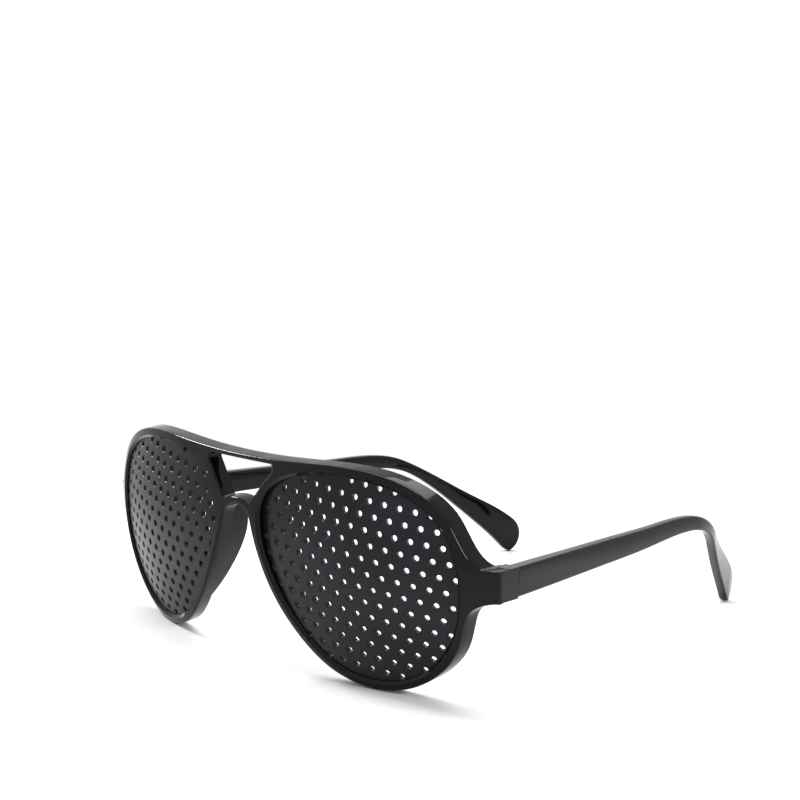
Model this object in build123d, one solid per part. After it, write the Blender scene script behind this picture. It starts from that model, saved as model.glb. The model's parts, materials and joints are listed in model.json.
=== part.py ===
from build123d import *
from math import asin, cos, degrees, hypot, radians, sin, tan
import os

# Pinhole glasses: a moulded front with two dished plates full of small holes, and two folding arms.
# Lengths are in millimetres and angles in degrees. Seen from the front, +X is to the right, +Y runs
# back towards the ears and +Z is up. The wearer looks along -Y.
#
# The front is drawn upright, in the face frame: the middle of the bridge's front surface is at
# X = 0, Y = 0, and Z = 0 is the middle of the lens openings. It is then leant forwards by
# pantoscopic_tilt, so that the glasses stand on the two rims and the two ear tips, with Z = 0 on the
# table. The end pieces, arms and hinges are drawn in that standing frame.
#
# Everything at the side is drawn for the right side and mirrored for the left.

# Lens openings
lens_width = 55.2
lens_height = 49.8
bridge_gap = 16.8
lens_curve_radius = 93.4
lens_wrap_angle = 11.4
lens_curve_drop = 1.9

# The front moulding
front_depth = 4.0
plate_recess = 1.0
bridge_join_x = 25.0
brow_width = 2.5
brow_corner_width = 4.0
rim_width = 2.35
brow_bar_height = 1.2
lower_bar_height = 1.7
front_edge_radius = 0.5
opening_bevel = 0.8
pantoscopic_tilt = 8.0

# End pieces, where the front turns back to the hinges
front_half_width = 72.6
lug_rise = 4.9
lug_drop = 2.7
side_slope_angle = 6.6
split_x = 71.1
split_y = 25.8
end_piece_bottom = 26.2
end_piece_top = 33.8
end_piece_thickness = 3.9
end_piece_corner_radius = 2.4

# Nose pads
pad_thickness = 2.0
pad_step = 0.15
pad_reach = 6.7
pad_top_z = 15.0
pad_bottom_z = -17.0

# Pinhole plates
plate_thickness = 1.3
plate_edge_depth = 1.0
plate_clearance = 0.05
hole_pitch = 4.08
hole_diameter = 1.5
hole_mouth_diameter = 2.0
hole_mouth_depth = 0.25
hole_row_angle = -8.5
hole_row_turn = 60.0
right_hole_offset = (-0.5, 1.9)
left_hole_offset = (0.9, 0.0)

# Arms
arm_reach = 135.2
arm_front_top = 33.6
arm_front_bottom = 26.3
arm_thickness = 3.8
arm_bend_thickness = 2.8
arm_bend_start = 87.0
arm_bend_radius = 50.0
arm_bend_angle = 21.0
arm_flare_angle = 14.0
arm_edge_radius = 0.7
split_gap = 0.1

# Hinges
barrel_radius = 1.4
barrel_height = 5.4
barrel_side_gap = 0.15
knuckle_gap = 0.08
leaf_thickness = 0.8
leaf_height = 5.2
front_leaf_length = 5.2
arm_leaf_length = 11.0
leaf_end_gap = 0.3
leaf_pocket_clearance = 0.05
screw_radius = 0.7
screw_clearance = 0.05
screw_head_radius = 1.15
screw_head_height = 0.5
screw_tail = 0.4
screw_slot_width = 0.3
screw_slot_depth = 0.25

# The lens opening, as shares of its width from the nasal edge and of its height from the middle
lens_outline_shares = [
    (0.000, 0.237), (0.037, 0.374), (0.169, 0.462), (0.418, 0.500), (0.721, 0.457), (0.911, 0.321),
    (1.000, 0.025), (0.945, -0.261), (0.776, -0.451), (0.582, -0.500), (0.380, -0.436),
    (0.230, -0.291), (0.092, -0.068), (0.023, 0.101),
]
brow_corner_index = 2
brow_indices = [3, 4, 5]
rim_indices = [7, 8, 9, 10, 11, 12, 13]

# How high the middle of the brow lies below the brow's highest line, as a share of the lens height
brow_dip_share = 0.018

# The sweep of the outline between rim and end piece, as shares of the way out and of the way down or up
upper_sweep_shares = [(0.34, 0.573), (0.607, 0.903), (0.80, 0.99)]
lower_sweep_shares = [(0.60, 0.98), (0.36, 0.86), (0.18, 0.51)]

# The window between the brow bar and the lower bar: shares of the bridge gap out from the middle, and
# of the window's height down from its top
window_height = 10.2
window_corner_radius = 1.2
window_low_corner_radius = 0.5
window_arch_rise = 0.8
window_side_shares = [(0.77, 0.0), (0.725, 0.14), (0.625, 0.33), (0.512, 0.55), (0.292, 1.0)]

# The arch over the nose: share of the bridge gap, and how far below the arch the rims begin
nose_arch_share = 0.31
nose_arch_drop = 3.5

# The nose pad's back edge: shares of its height down from its top, and of its reach
pad_back_shares = [
    (0.0, -0.10), (0.05, 0.55), (0.19, 0.94), (0.34, 1.0), (0.59, 0.80), (0.81, 0.48), (1.0, 0.12),
]

# The arm seen from the side: shares of its reach, and of the height of its top at the hinge
arm_top_shares = [
    (0.120, 1.005), (0.240, 1.010), (0.360, 1.015), (0.480, 1.020), (0.602, 1.024), (0.662, 0.991),
    (0.730, 0.885), (0.861, 0.599), (0.969, 0.360), (0.996, 0.251), (1.000, 0.133), (0.990, 0.045),
]
arm_foot_share = 0.975
arm_low_shares = [
    (0.962, 0.022), (0.953, 0.055), (0.907, 0.225), (0.832, 0.475), (0.757, 0.710), (0.700, 0.835),
    (0.646, 0.885), (0.587, 0.893), (0.442, 0.855), (0.286, 0.826), (0.141, 0.802),
]


# Sizes that follow from those above

front_radius = lens_curve_radius + plate_recess
lens_centre_x = (bridge_gap + lens_width) / 2
curve_x = lens_centre_x - lens_curve_radius * sin(radians(lens_wrap_angle))
join_angle = degrees(asin((bridge_join_x - curve_x) / front_radius))
bridge_radius = bridge_join_x / sin(radians(join_angle))
curve_y = bridge_radius - (bridge_radius - front_radius) * cos(radians(join_angle))
brow_middle_z = lens_height / 2 + brow_width - brow_dip_share * lens_height
window_top_z = brow_middle_z - brow_bar_height
window_low_z = window_top_z - window_height
nose_arch_z = window_low_z + window_arch_rise - lower_bar_height
end_piece_middle = (end_piece_bottom + end_piece_top) / 2
knuckle_height = (barrel_height - 2 * knuckle_gap) / 3
bore_radius = screw_radius + screw_clearance
pivot_inset = end_piece_thickness + barrel_side_gap + barrel_radius

# A length that reaches right through the part, for cutting shapes
through = 3 * front_half_width

# How far the curved shells reach, up and down and round to the side: well past the front's outline
shell_half_angle = 28.0
lens_sweep_start = -30.0
lens_sweep = 80.0
side_sweep = 45.0

# Half a turn, in degrees
half_turn = 180.0

# An edge counts as upright when this share of its direction is along Z
upright_share = 0.9

# How closely a face must follow the front's curve to be taken for a part of it
front_face_tolerance = 0.05

# The line that parts the lens openings' edges from the others, as a share of the rim's width
rim_inner_share = 0.7


def mirrored(shape):
    return mirror(shape, about=Plane.YZ)


def lens_point(index, width=0.0):
    """A point of the lens opening, or one that lies a width outside it, in X and Z."""
    count = len(lens_outline_shares)

    def place(number):
        across, up = lens_outline_shares[number % count]
        return bridge_gap / 2 + across * lens_width, up * lens_height

    x, z = place(index)
    before = place(index - 1)
    after = place(index + 1)
    run = after[0] - before[0]
    rise = after[1] - before[1]
    length = hypot(run, rise)
    return x - rise / length * width, z + run / length * width


def between(start, end, shares):
    """Points between two places, from shares of the way across and of the way up or down."""
    run = end[0] - start[0]
    rise = end[1] - start[1]
    return [(start[0] + across * run, start[1] + along * rise) for across, along in shares]


def lens_face(width=0.0):
    """The lens opening, or one that is a width larger all round, in X and Z."""
    points = [lens_point(index, width) for index in range(len(lens_outline_shares))]
    return make_face(Spline(points, periodic=True))


def prism(face):
    """A face drawn in X and Z, made solid both ways along Y."""
    return extrude(Plane.XZ * face, amount=through, both=True)


# The front moulding, in the face frame


def flipped(points):
    """Points in X and Z, mirrored to the other side and taken in the other order."""
    return [(-x, z) for x, z in reversed(points)]


def front_outline():
    """The outside of the front."""
    lug_top = (front_half_width, lug_rise)
    lug_low = (front_half_width, -lug_drop)
    brow = [lens_point(brow_corner_index, brow_corner_width)]
    brow += [lens_point(index, brow_width) for index in brow_indices]
    top = brow + between(brow[-1], lug_top, upper_sweep_shares) + [lug_top]
    rim = [lens_point(index, rim_width) for index in rim_indices]
    arch_side = (nose_arch_share * bridge_gap, nose_arch_z - nose_arch_drop)
    low = [lug_low] + between(rim[0], lug_low, lower_sweep_shares) + rim + [arch_side]
    return make_face(
        [
            Spline(flipped(top) + [(0.0, brow_middle_z)] + top),
            Line(lug_top, lug_low),
            Spline(low),
            ThreePointArc(arch_side, (0.0, nose_arch_z), flipped([arch_side])[0]),
            Spline(flipped(low)),
            Line(*flipped([lug_top, lug_low])),
        ]
    )


def window_face():
    """The opening between the brow bar and the lower bar."""
    side = [(a * bridge_gap, window_top_z - d * window_height) for a, d in window_side_shares]
    other_side = flipped(side)
    window = make_face(
        [
            Line(other_side[-1], side[0]),
            Spline(side),
            ThreePointArc(side[-1], (0.0, window_low_z + window_arch_rise), other_side[0]),
            Spline(other_side),
        ]
    )
    upper = window.vertices().sort_by(Axis.Y)[-2:]
    window = fillet(upper, window_corner_radius)
    lower = window.vertices().sort_by(Axis.Y)[:2]
    return fillet(lower, window_low_corner_radius)


def swept_shell(axis_x, axis_y, radius, depth, start_angle, sweep_angle):
    """An upright arc of the front's curve, given a depth and swept about an upright axis."""
    reach = hypot(axis_x - curve_x, axis_y - curve_y)
    outer = CenterArc((reach, 0), radius, -shell_half_angle, 2 * shell_half_angle)
    inner = CenterArc((reach, 0), radius - depth, -shell_half_angle, 2 * shell_half_angle)
    section = make_face([outer, inner, Line(outer @ 0, inner @ 0), Line(outer @ 1, inner @ 1)])
    forward = Plane(origin=(0, 0, 0), x_dir=(0, -1, 0), z_dir=(-1, 0, 0))
    turned = Rot(Z=start_angle) * (forward * section)
    swept = revolve(turned, axis=Axis.Z, revolution_arc=sweep_angle)
    return Pos(axis_x, axis_y, -lens_curve_drop) * swept


def lens_shell(radius, depth):
    """A shell of the lens curve on the right side, from its middle outwards."""
    return swept_shell(curve_x, curve_y, radius, depth, lens_sweep_start, lens_sweep)


def front_band(depth):
    """The whole front's curved thickness: the bridge's flatter sweep between the two lens curves."""
    bridge = swept_shell(0, bridge_radius, front_radius, depth, -join_angle, 2 * join_angle)
    side = swept_shell(curve_x, curve_y, front_radius, depth, join_angle, side_sweep)
    return bridge + side + mirrored(side)


def nose_pad():
    """A strip behind the nasal edge of the rim, a small step inside it, with a curved back edge."""
    height = pad_top_z - pad_bottom_z
    back = [(front_depth + a * pad_reach, pad_top_z - d * height) for d, a in pad_back_shares]
    base_y = front_depth / 2
    profile = make_face(
        [
            Spline(back),
            Line(back[-1], (base_y, pad_bottom_z)),
            Line((base_y, pad_bottom_z), (base_y, pad_top_z)),
            Line((base_y, pad_top_z), back[0]),
        ]
    )
    strip = prism(lens_face(rim_width - pad_step) - lens_face(rim_width - pad_thickness))
    return strip & extrude(Plane.YZ * profile, amount=lens_centre_x)


def behind_front(point):
    """How far a point lies behind the front's surface."""
    height = point.Z + lens_curve_drop
    across = abs(point.X)
    if across > bridge_join_x:
        return front_radius - hypot(across - curve_x, point.Y - curve_y, height)
    reach = hypot(across, point.Y - bridge_radius) - bridge_radius + front_radius
    return front_radius - hypot(reach, height)


def front_edges(body, of_lenses):
    """The edges round the front's surface: those of the lens openings, or all the others."""
    faces = body.faces()
    depths = [abs(behind_front(face.position_at(0.5, 0.5))) for face in faces]
    front_faces = [face for face, depth in zip(faces, depths) if depth < front_face_tolerance]
    edges = [edge for face in front_faces for edge in face.edges()]
    rims = [edge for edge in edges if sum(edge.is_same(other) for other in edges) == 1]
    near_lens = lens_face(rim_inner_share * rim_width)
    chosen = []
    for edge in rims:
        middle = edge @ 0.5
        if near_lens.is_inside(Vector(abs(middle.X), middle.Z, 0)) == of_lenses:
            chosen.append(edge)
    return chosen


def soften_front(body):
    """Bevel the lens openings' front edges, and round every other front edge."""
    bevelled = chamfer(front_edges(body, True), opening_bevel)
    return fillet(front_edges(bevelled, False), front_edge_radius)


def face_front():
    """The front moulding without its end pieces, upright."""
    outline = front_outline() - window_face() - lens_face() - mirrored(lens_face())
    body = prism(outline) & front_band(front_depth)
    body = soften_front(body)
    pads = nose_pad()
    body = body + pads + mirrored(pads)
    groove = prism(lens_face(plate_edge_depth)) & lens_shell(
        lens_curve_radius + plate_clearance, plate_thickness + 2 * plate_clearance
    )
    return body - groove - mirrored(groove)


def leant(shape):
    return Rot(X=pantoscopic_tilt) * shape


# The front leans about X, then rises until its rims touch the table
upright_front = face_front()
front_rise = -leant(upright_front).bounding_box().min.Z


def stand(shape):
    return Pos(0, 0, front_rise) * leant(shape)


# The side frame: X outwards from the arm's outer face, Y back along the arm from the split


def at_side(shape):
    return Pos(split_x, split_y, 0) * Rot(Z=side_slope_angle) * shape


def side_box(low, high):
    """A box between two corners."""
    size = [b - a for a, b in zip(low, high)]
    return Pos(*low) * Box(*size, align=Align.MIN)


def end_piece():
    """The block that runs back from the lug to the split, trimmed by the front's own curve."""
    bottom_left = (-end_piece_thickness, -split_y, end_piece_bottom)
    block = side_box(bottom_left, (0, 0, end_piece_top))
    return at_side(block) & stand(front_band(2 * split_y))


def leaf_pocket(direction, length):
    """The shallow pocket that takes a hinge leaf, on the inner face."""
    near = leaf_end_gap - leaf_pocket_clearance
    far = leaf_end_gap + length + leaf_pocket_clearance
    inner = -end_piece_thickness
    half_height = leaf_height / 2 + leaf_pocket_clearance
    ends = sorted([direction * near, direction * far])
    return side_box(
        (inner - leaf_thickness, ends[0], end_piece_middle - half_height),
        (inner + leaf_thickness, ends[1], end_piece_middle + half_height),
    )


def corner_edge(body):
    """The upright edge where the front turns the corner to the end piece, on the right side."""
    edges = [edge for edge in body.edges() if edge.length > end_piece_thickness]
    upright = [edge for edge in edges if abs((edge % 0.5).Z) > upright_share]
    outermost = sorted(upright, key=lambda edge: (edge @ 0.5).X)[-2:]
    return min(outermost, key=lambda edge: (edge @ 0.5).Y)


def corner_cutter(body):
    """What is taken off that edge to leave it rounded."""
    edge = corner_edge(body)
    corner = edge @ 0.5
    along = edge % 0.5
    faces = [face for face in body.faces() if any(side.is_same(edge) for side in face.edges())]
    normals = sorted([face.normal_at(corner) for face in faces], key=lambda normal: normal.X)
    inward = along.cross(normals[0]).normalized()
    inward = inward if inward.X < 0 else -inward
    backward = along.cross(normals[-1]).normalized()
    backward = backward if backward.Y > 0 else -backward

    half_angle = inward.get_angle(backward) / 2
    reach = end_piece_corner_radius / tan(radians(half_angle))
    depth = end_piece_corner_radius / sin(radians(half_angle)) - end_piece_corner_radius
    middle = (inward + backward).normalized()
    start = corner + inward * reach
    end = corner + backward * reach
    outside = middle * end_piece_thickness
    section = make_face(
        [
            ThreePointArc(start, corner + middle * depth, end),
            Line(end, end - outside),
            Line(end - outside, start - outside),
            Line(start - outside, start),
        ]
    )
    height = end_piece_top - end_piece_bottom
    return extrude(section, amount=height, dir=along, both=True)


def front_frame():
    side_plane = side_box((0, -through, -through), (through, through, through))
    beyond_side = at_side(side_plane)
    block = end_piece()
    body = stand(upright_front) + block + mirrored(block)
    body = body - beyond_side - mirrored(beyond_side)
    corner = corner_cutter(body)
    body = body - corner - mirrored(corner)
    pocket = at_side(leaf_pocket(-1, front_leaf_length))
    return body - pocket - mirrored(pocket)


# The pinhole plates


def sheet_point(across, up):
    """The place on the lens curve that lies at these distances along the sheet from its middle."""
    distance = hypot(across, up)
    turn = distance / lens_curve_radius
    wrap = radians(lens_wrap_angle)
    outward = Vector(sin(wrap), -cos(wrap), 0)
    sideways = Vector(cos(wrap), sin(wrap), 0)
    heading = sideways * (across / distance) + Vector(0, 0, up / distance)
    normal = outward * cos(turn) + heading * sin(turn)
    centre = Vector(curve_x, curve_y, -lens_curve_drop)
    return centre + normal * lens_curve_radius, normal


def hole_cutter():
    """The shape of one hole, along Z from the sheet's front: a bore with a wider mouth."""
    below = (Align.CENTER, Align.CENTER, Align.MAX)
    mouth = Cone(hole_diameter / 2, hole_mouth_diameter / 2, hole_mouth_depth, align=below)
    return Cylinder(hole_diameter / 2, 4 * plate_thickness) + mouth


def pinhole_plate(offset, lean):
    """A dished plate in its groove, drilled in a hexagonal pattern turned by a lean angle."""
    outline = prism(lens_face(plate_edge_depth - plate_clearance))
    sheet = outline & lens_shell(lens_curve_radius, plate_thickness)
    opening = lens_face()
    cutter = hole_cutter()
    rows = int(lens_height / hole_pitch)
    row_angle = radians(lean)
    cutters = []
    for row in range(-rows, rows + 1):
        for column in range(-rows, rows + 1):
            along = (column + (row % 2) / 2) * hole_pitch
            rise = row * hole_pitch * sin(radians(hole_row_turn))
            across = offset[0] + along * cos(row_angle) - rise * sin(row_angle)
            up = offset[1] + along * sin(row_angle) + rise * cos(row_angle)
            place, normal = sheet_point(across, up)
            if opening.is_inside(Vector(place.X, place.Z, 0)):
                cutters.append(Plane(origin=place, z_dir=normal) * cutter)
    return stand(sheet - cutters)


# The arms


def arm_plan():
    """The arm seen from above: straight, then bent inwards towards the ear and flared out at the tip."""
    inner_radius = arm_bend_radius - arm_bend_thickness
    centre = (-arm_bend_radius, arm_bend_start)
    outer_bend = CenterArc(centre, arm_bend_radius, 0, arm_bend_angle)
    inner_bend = CenterArc(centre, inner_radius, 0, arm_bend_angle)

    flare_radius = (arm_reach - arm_bend_start) / radians(arm_flare_angle)
    reach = arm_bend_radius + flare_radius
    bend = radians(arm_bend_angle)
    far_centre = (centre[0] + reach * cos(bend), centre[1] + reach * sin(bend))
    start = arm_bend_angle + half_turn
    outer_flare = CenterArc(far_centre, flare_radius, start, -arm_flare_angle)
    inner_flare = CenterArc(far_centre, flare_radius + arm_bend_thickness, start, -arm_flare_angle)

    front_inner = (-arm_thickness, split_gap)
    front_outer = (0, split_gap)
    return make_face(
        [
            Line(front_outer, outer_bend @ 0),
            outer_bend,
            outer_flare,
            Line(outer_flare @ 1, inner_flare @ 1),
            inner_flare,
            inner_bend,
            Line(inner_bend @ 0, front_inner),
            Line(front_inner, front_outer),
        ]
    )


def arm_side():
    """The arm seen from the side, from the split to the ear tip that rests on the table."""
    top = [(along * arm_reach, up * arm_front_top) for along, up in arm_top_shares]
    low = [(along * arm_reach, up * arm_front_top) for along, up in arm_low_shares]
    foot = (arm_foot_share * arm_reach, 0.0)
    top_line = Spline([(split_gap, arm_front_top)] + top + [foot])
    low_line = Spline([foot] + low + [(split_gap, arm_front_bottom)])
    return make_face([top_line, low_line, Line(low_line @ 1, top_line @ 0)])


def arm():
    """One folding arm, on the right side."""
    side = extrude(Plane.YZ * arm_side(), amount=through, both=True)
    body = extrude(arm_plan(), amount=through, both=True) & side
    long_edges = [edge for edge in body.edges() if (edge @ 0.5).Y > 2 * split_gap]
    body = fillet([edge for edge in long_edges if edge.length > arm_thickness], arm_edge_radius)
    return at_side(body - leaf_pocket(1, arm_leaf_length))


# The hinges


def hinge_leaf(direction, length, levels):
    """A leaf in its pocket with a barrel knuckle at each level, bored for the screw."""
    inner = -end_piece_thickness
    half_height = leaf_height / 2
    ends = sorted([direction * leaf_end_gap, direction * (leaf_end_gap + length)])
    leaf = side_box(
        (inner, ends[0], end_piece_middle - half_height),
        (inner + leaf_thickness, ends[1], end_piece_middle + half_height),
    )
    web_ends = sorted([direction * leaf_end_gap, direction * barrel_radius])
    for level in levels:
        low = end_piece_middle + level * (knuckle_height + knuckle_gap) - knuckle_height / 2
        high = low + knuckle_height
        web = side_box((-pivot_inset, web_ends[0], low), (inner, web_ends[1], high))
        barrel = Cylinder(barrel_radius, knuckle_height, align=(Align.CENTER, Align.CENTER, Align.MIN))
        leaf = leaf + web + Pos(-pivot_inset, 0, low) * barrel
    bore = Pos(-pivot_inset, 0, end_piece_middle) * Cylinder(bore_radius, 2 * barrel_height)
    return at_side(leaf - bore)


def hinge_screw():
    """The slotted screw that joins the knuckles."""
    head_z = end_piece_middle + barrel_height / 2
    tail_z = end_piece_middle - barrel_height / 2 - screw_tail
    upright = (Align.CENTER, Align.CENTER, Align.MIN)
    shank = Pos(0, 0, tail_z) * Cylinder(screw_radius, head_z - tail_z, align=upright)
    head = Pos(0, 0, head_z) * Cylinder(screw_head_radius, screw_head_height, align=upright)
    slot_z = head_z + screw_head_height - screw_slot_depth
    slot = Pos(0, 0, slot_z) * Box(screw_slot_width, 3 * screw_head_radius, screw_head_height, align=upright)
    return at_side(Pos(-pivot_inset, 0, 0) * (shank + head - slot))


# Every piece, with the left side mirrored from the right

right_arm = arm()
right_front_leaf = hinge_leaf(-1, front_leaf_length, [-1, 1])
right_arm_leaf = hinge_leaf(1, arm_leaf_length, [0])
right_screw = hinge_screw()

pieces = {
    "front_frame": front_frame(),
    "right_pinhole_plate": pinhole_plate(right_hole_offset, hole_row_angle),
    "left_pinhole_plate": mirrored(pinhole_plate(left_hole_offset, -hole_row_angle)),
    "right_temple_arm": right_arm,
    "left_temple_arm": mirrored(right_arm),
    "right_front_hinge_leaf": right_front_leaf,
    "left_front_hinge_leaf": mirrored(right_front_leaf),
    "right_temple_hinge_leaf": right_arm_leaf,
    "left_temple_hinge_leaf": mirrored(right_arm_leaf),
    "right_hinge_screw": right_screw,
    "left_hinge_screw": mirrored(right_screw),
}

whole = Compound(children=[Compound(shape.solids()) for shape in pieces.values()]).bounding_box()
home = Pos(-whole.center().X, -whole.center().Y, -whole.min.Z)

os.makedirs("parts", exist_ok=True)
for name, shape in pieces.items():
    placed = home * shape
    export_step(placed, f"parts/{name}.step")
    box = placed.bounding_box()
    print(name, len(placed.solids()), [round(v, 2) for v in (*box.min, *box.max)], round(placed.volume, 1))

pivot = home * at_side(Pos(-pivot_inset, 0, end_piece_middle))
print("pivot", pivot.position)
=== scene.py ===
import json
from math import radians

import bmesh
import bpy
from mathutils import Matrix, Vector


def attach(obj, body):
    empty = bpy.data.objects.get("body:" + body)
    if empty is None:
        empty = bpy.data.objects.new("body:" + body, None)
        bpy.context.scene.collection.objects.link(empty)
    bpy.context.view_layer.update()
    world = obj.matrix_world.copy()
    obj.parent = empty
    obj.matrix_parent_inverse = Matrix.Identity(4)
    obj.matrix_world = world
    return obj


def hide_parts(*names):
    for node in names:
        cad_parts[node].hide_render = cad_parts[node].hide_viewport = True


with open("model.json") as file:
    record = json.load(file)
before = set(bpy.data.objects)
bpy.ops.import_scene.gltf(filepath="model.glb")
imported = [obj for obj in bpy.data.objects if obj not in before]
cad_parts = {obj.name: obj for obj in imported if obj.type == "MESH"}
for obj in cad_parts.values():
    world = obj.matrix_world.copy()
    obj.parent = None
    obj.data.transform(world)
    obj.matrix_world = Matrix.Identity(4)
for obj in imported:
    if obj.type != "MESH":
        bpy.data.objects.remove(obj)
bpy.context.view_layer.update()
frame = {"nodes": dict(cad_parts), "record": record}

# Pinhole glasses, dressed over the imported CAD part. Lengths are in metres and angles in degrees.
# The glasses stand on a table at Z = 0, the front faces -Y and the arms run back along +Y.

# The camera, where the photograph was taken from
camera_place = (0.3153, -0.3438, 0.1204)
camera_turn = 44.43
camera_drop = 7.32
camera_roll = 1.97
camera_view_angle = 27.0
camera_near = 0.01
level_tip = 90

# The table and the lamps
table_size = 6.0
table_drop = 0.0002
shadow_reach = 0.11
clear_reach = 0.26
surround_light = 0.55
ceiling_lamp = {"place": (-0.10, 0.10, 0.70), "size": 0.60, "watts": 5.0}
window_lamp = {"place": (-0.55, -0.18, 0.46), "size": 0.12, "watts": 3.6}
side_lamp = {"place": (0.62, 0.02, 0.34), "size": 0.12, "watts": 1.8}
lamp_aim = (0.0, 0.0, 0.02)

# How the CAD surfaces are shaded: triangles closer than this are joined, and edges sharper are creased
weld_distance = 0.000002
crease_angle = 32.0

# The moulded plastic of the front and arms
moulding_black = (0.0015, 0.0015, 0.002, 1)
moulding_worn_black = (0.004, 0.004, 0.005, 1)
moulding_roughness = 0.03
smear_roughness = 0.07
dust_roughness = 0.02
smear_scale = 28.0
smear_detail = 4.0
dust_scale = 2600.0
dust_detail = 2.0
moulding_grain_scale = 900.0
moulding_grain_detail = 3.0
moulding_grain_height = 0.000003
moulding_grain_strength = 0.5
moulding_tone_low = 0.3
moulding_tone_high = 0.7

# The plates' drilled sheet
sheet_black = (0.003, 0.0035, 0.005, 1)
sheet_haze = (0.011, 0.013, 0.018, 1)
sheet_roughness = 0.20
haze_roughness = 0.20
haze_scale = 55.0
haze_detail = 5.0
haze_low = 0.3
haze_high = 0.75
sheet_grain_scale = 1500.0
sheet_grain_detail = 3.0
sheet_grain_height = 0.000004
sheet_grain_strength = 0.6

# How strongly each plastic mirrors the room
moulding_specular = 0.17
sheet_specular = 0.20

# The hinges' steel
steel_dark = (0.46, 0.46, 0.47, 1)
steel_light = (0.60, 0.60, 0.61, 1)
leaf_roughness = 0.28
screw_roughness = 0.18
brush_roughness = 0.15
brush_stretch = (1.0, 0.06, 1.0)
brush_scale = 4200.0
brush_detail = 3.0
brush_height = 0.000004
brush_strength = 0.6
brush_low = 0.3
brush_high = 0.7

# The table
table_pale = (0.88, 0.88, 0.88, 1)
table_roughness = 0.9
plain_white = (1, 1, 1, 1)


class Wire:
    """A shader socket that takes part in Python sums."""

    def __init__(self, shop, socket):
        self.shop = shop
        self.socket = socket

    def combine(self, operation, first, second):
        return self.shop.node("ShaderNodeMath", {"operation": operation}, [first, second])

    def __add__(self, other):
        return self.combine("ADD", self, other)

    def __radd__(self, other):
        return self.combine("ADD", other, self)

    def __mul__(self, other):
        return self.combine("MULTIPLY", self, other)

    def __rmul__(self, other):
        return self.combine("MULTIPLY", other, self)


class Shop:
    """A node tree being put together."""

    def __init__(self, tree):
        self.tree = tree

    def join(self, value, socket):
        if isinstance(value, Wire):
            self.tree.links.new(value.socket, socket)
        else:
            socket.default_value = value

    def node(self, kind, settings, inputs, output=0):
        """Adds a node: its settings first, then the values or wires of its sockets."""
        made = self.tree.nodes.new(kind)
        for name, value in settings.items():
            if name == "stops":
                for stop, (place, colour) in zip(made.color_ramp.elements, value):
                    stop.position = place
                    stop.color = colour
            else:
                setattr(made, name, value)
        named = inputs.items() if isinstance(inputs, dict) else enumerate(inputs)
        for name, value in named:
            self.join(value, made.inputs[name])
        return Wire(self, made.outputs[output])

    def seen_directly(self):
        """1 for what the camera sees, straight or in a reflection, and 0 for light on the object."""
        rays = ("Is Camera Ray", "Is Glossy Ray", "Is Transmission Ray")
        camera, glossy, through = [self.node("ShaderNodeLightPath", {}, {}, ray) for ray in rays]
        return self.node("ShaderNodeClamp", {}, {"Value": camera + glossy + through})


class Finish(Shop):
    """A node material round one Principled surface."""

    def __init__(self, name):
        self.material = bpy.data.materials.new(name)
        self.material.use_nodes = True
        super().__init__(self.material.node_tree)
        self.surface = self.tree.nodes["Principled BSDF"]

    def place(self):
        return self.node("ShaderNodeTexCoord", {}, {}, "Object")

    def stretched(self, scale):
        return self.node("ShaderNodeMapping", {}, {"Vector": self.place(), "Scale": scale})

    def noise(self, scale, detail, where=None):
        where = where or self.place()
        return self.node("ShaderNodeTexNoise", {}, {"Vector": where, "Scale": scale, "Detail": detail}, "Fac")

    def ramp(self, value, stops):
        return self.node("ShaderNodeValToRGB", {"stops": stops}, {"Fac": value}, "Color")

    def bump(self, height, distance, strength):
        inputs = {"Height": height, "Distance": distance, "Strength": strength}
        return self.node("ShaderNodeBump", {}, inputs, "Normal")

    def finished(self, **sockets):
        for name, value in sockets.items():
            self.join(value, self.surface.inputs[name.replace("_", " ")])
        return self.material


# Materials


def polished_moulding(name):
    """Black injection-moulded plastic off a polished tool: gloss with faint smears and grain."""
    finish = Finish(name)
    smear = finish.noise(smear_scale, smear_detail)
    dust = finish.noise(dust_scale, dust_detail)
    grain = finish.noise(moulding_grain_scale, moulding_grain_detail)
    tones = [(moulding_tone_low, moulding_black), (moulding_tone_high, moulding_worn_black)]
    colour = finish.ramp(smear, tones)
    roughness = moulding_roughness + smear * smear_roughness + dust * dust_roughness
    normal = finish.bump(grain, moulding_grain_height, moulding_grain_strength)
    gloss = {"Specular IOR Level": moulding_specular}
    return finish.finished(Base_Color=colour, Roughness=roughness, Normal=normal, **gloss)


def drilled_sheet():
    """The plates' black sheet: a softer sheen with a bluish haze and a fine pebble."""
    finish = Finish("drilled black sheet")
    haze = finish.noise(haze_scale, haze_detail)
    grain = finish.noise(sheet_grain_scale, sheet_grain_detail)
    colour = finish.ramp(haze, [(haze_low, sheet_black), (haze_high, sheet_haze)])
    roughness = sheet_roughness + haze * haze_roughness
    normal = finish.bump(grain, sheet_grain_height, sheet_grain_strength)
    gloss = {"Specular IOR Level": sheet_specular}
    return finish.finished(Base_Color=colour, Roughness=roughness, Normal=normal, **gloss)


def plated_steel(name, lowest_roughness):
    """Nickel-plated steel with fine brushing along the leaf."""
    finish = Finish(name)
    brushed = finish.noise(brush_scale, brush_detail, finish.stretched(brush_stretch))
    colour = finish.ramp(brushed, [(brush_low, steel_dark), (brush_high, steel_light)])
    roughness = lowest_roughness + brushed * brush_roughness
    normal = finish.bump(brushed, brush_height, brush_strength)
    return finish.finished(Base_Color=colour, Roughness=roughness, Normal=normal, Metallic=1.0)


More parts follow.
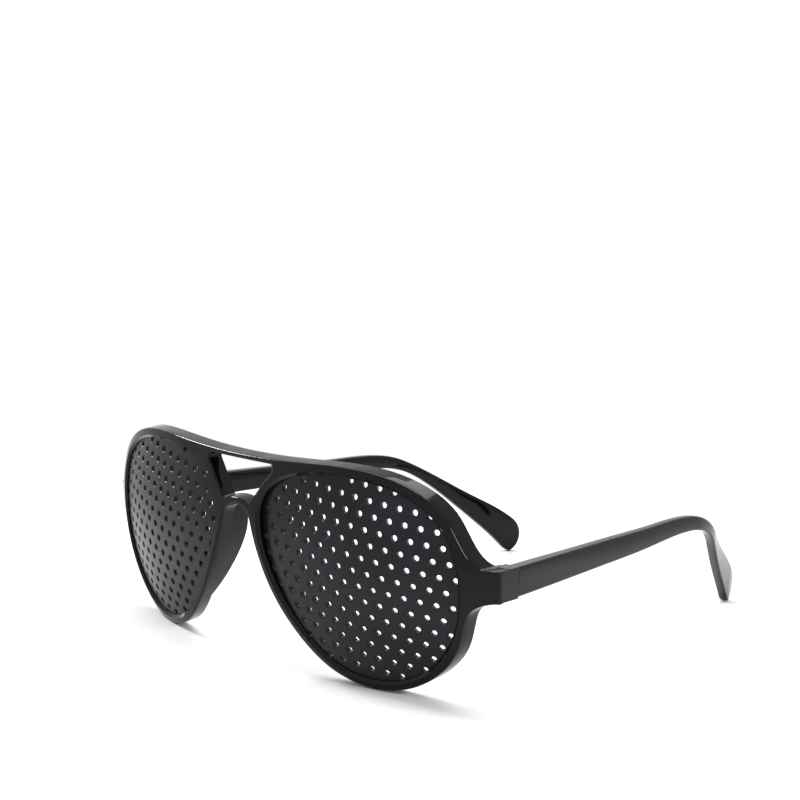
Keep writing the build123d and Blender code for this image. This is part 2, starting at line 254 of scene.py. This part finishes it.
def pale_stage():
    """A matt pale table that keeps the object's shadow and clears to plain white further away."""
    finish = Finish("pale stage")
    distance = finish.node("ShaderNodeVectorMath", {"operation": "LENGTH"}, [finish.place()], "Value")
    reach = {"Value": distance, "From Min": shadow_reach, "From Max": clear_reach}
    far = finish.node("ShaderNodeMapRange", {"interpolation_type": "SMOOTHSTEP"}, reach)
    white = finish.node("ShaderNodeEmission", {}, {"Color": plain_white, "Strength": 1.0})
    material = finish.finished(Base_Color=table_pale, Roughness=table_roughness)
    inputs = [far * finish.seen_directly(), Wire(finish, finish.surface.outputs["BSDF"]), white]
    mixed = finish.node("ShaderNodeMixShader", {}, inputs)
    finish.tree.links.new(mixed.socket, finish.tree.nodes["Material Output"].inputs["Surface"])
    return material


# Pieces


def body_holding(node):
    for body, nodes in frame["record"]["behaviour"]["bodies"].items():
        if node in nodes:
            return body


def smooth_piece(node, material):
    """A welded copy of a CAD node, smooth over its curves and creased at its edges."""
    shape = bmesh.new()
    shape.from_mesh(frame["nodes"][node].data)
    bmesh.ops.remove_doubles(shape, verts=shape.verts, dist=weld_distance)
    for face in shape.faces:
        face.smooth = True
    for edge in shape.edges:
        edge.smooth = edge.calc_face_angle(0.0) < radians(crease_angle)
    mesh = bpy.data.meshes.new(node + "_smooth")
    shape.to_mesh(mesh)
    shape.free()
    mesh.materials.append(material)
    piece = bpy.data.objects.new(node + "_smooth", mesh)
    bpy.context.scene.collection.objects.link(piece)
    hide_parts(node)
    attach(piece, body_holding(node))


def dress_pieces():
    front = polished_moulding("polished front moulding")
    arm = polished_moulding("polished arm moulding")
    sheet = drilled_sheet()
    leaf = plated_steel("plated hinge steel", leaf_roughness)
    screw = plated_steel("turned screw steel", screw_roughness)
    smooth_piece("front_frame", front)
    for side in ("right", "left"):
        smooth_piece(f"{side}_pinhole_plate", sheet)
        smooth_piece(f"{side}_temple_arm", arm)
        smooth_piece(f"{side}_front_hinge_leaf", leaf)
        smooth_piece(f"{side}_temple_hinge_leaf", leaf)
        smooth_piece(f"{side}_hinge_screw", screw)


# Stage, lamps and camera


def add_table():
    shape = bmesh.new()
    bmesh.ops.create_grid(shape, x_segments=1, y_segments=1, size=table_size / 2)
    bmesh.ops.translate(shape, verts=shape.verts, vec=(0, 0, -table_drop))
    mesh = bpy.data.meshes.new("table")
    shape.to_mesh(mesh)
    shape.free()
    mesh.materials.append(pale_stage())
    table = bpy.data.objects.new("table", mesh)
    bpy.context.scene.collection.objects.link(table)


def add_lamp(name, lamp):
    light = bpy.data.lights.new(name, "AREA")
    light.size = lamp["size"]
    light.energy = lamp["watts"]
    holder = bpy.data.objects.new(name, light)
    place = Vector(lamp["place"])
    aim = (Vector(lamp_aim) - place).to_track_quat("-Z", "Y")
    holder.matrix_world = Matrix.Translation(place) @ aim.to_matrix().to_4x4()
    bpy.context.scene.collection.objects.link(holder)


def add_surround():
    """A dim surround for the light on the object, that shows white to the camera and in reflections."""
    world = bpy.data.worlds.new("surround")
    world.use_nodes = True
    bpy.context.scene.world = world
    shop = Shop(world.node_tree)
    background = shop.tree.nodes["Background"]
    shop.join(surround_light + shop.seen_directly() * (1 - surround_light), background.inputs["Strength"])
    shop.join(plain_white, background.inputs["Color"])


def add_camera():
    camera = bpy.data.cameras.new("camera")
    camera.angle = radians(camera_view_angle)
    camera.clip_start = camera_near
    holder = bpy.data.objects.new("camera", camera)
    turn = Matrix.Rotation(radians(camera_turn), 4, "Z")
    tip = Matrix.Rotation(radians(level_tip - camera_drop), 4, "X")
    roll = Matrix.Rotation(radians(camera_roll), 4, "Z")
    holder.matrix_world = Matrix.Translation(camera_place) @ turn @ tip @ roll
    bpy.context.scene.collection.objects.link(holder)
    bpy.context.scene.camera = holder


dress_pieces()
add_table()
add_lamp("ceiling lamp", ceiling_lamp)
add_lamp("window lamp", window_lamp)
add_lamp("side lamp", side_lamp)
add_surround()
add_camera()
bpy.context.scene.view_settings.view_transform = "Standard"
